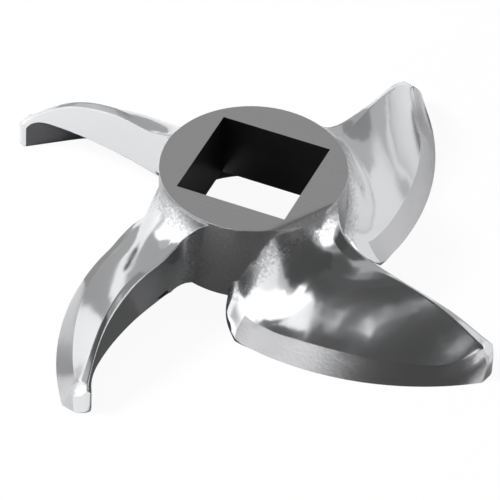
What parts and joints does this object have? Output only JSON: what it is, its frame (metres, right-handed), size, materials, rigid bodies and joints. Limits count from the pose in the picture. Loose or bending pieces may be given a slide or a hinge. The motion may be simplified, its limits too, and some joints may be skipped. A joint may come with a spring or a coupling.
{
  "type": "meat grinder knife",
  "caption": "Pinwheel cutting knife for a meat grinder: curved, hollow-backed arms swept from a ground hub with a square through-bore.",
  "frame": {"origin": "on the drive axis, in the cutting plane that the four ground lands share", "axes": "+Z along the drive axis from the cutting plane to the hub's top face; X and Y square to the flats of the square bore"},
  "size_m": [0.0934, 0.0934, 0.0186],
  "materials": {
    "knife": "ground and polished stainless casting"
  },
  "bodies": {
    "root": {"knife": "knife"}
  },
  "joints": []
}
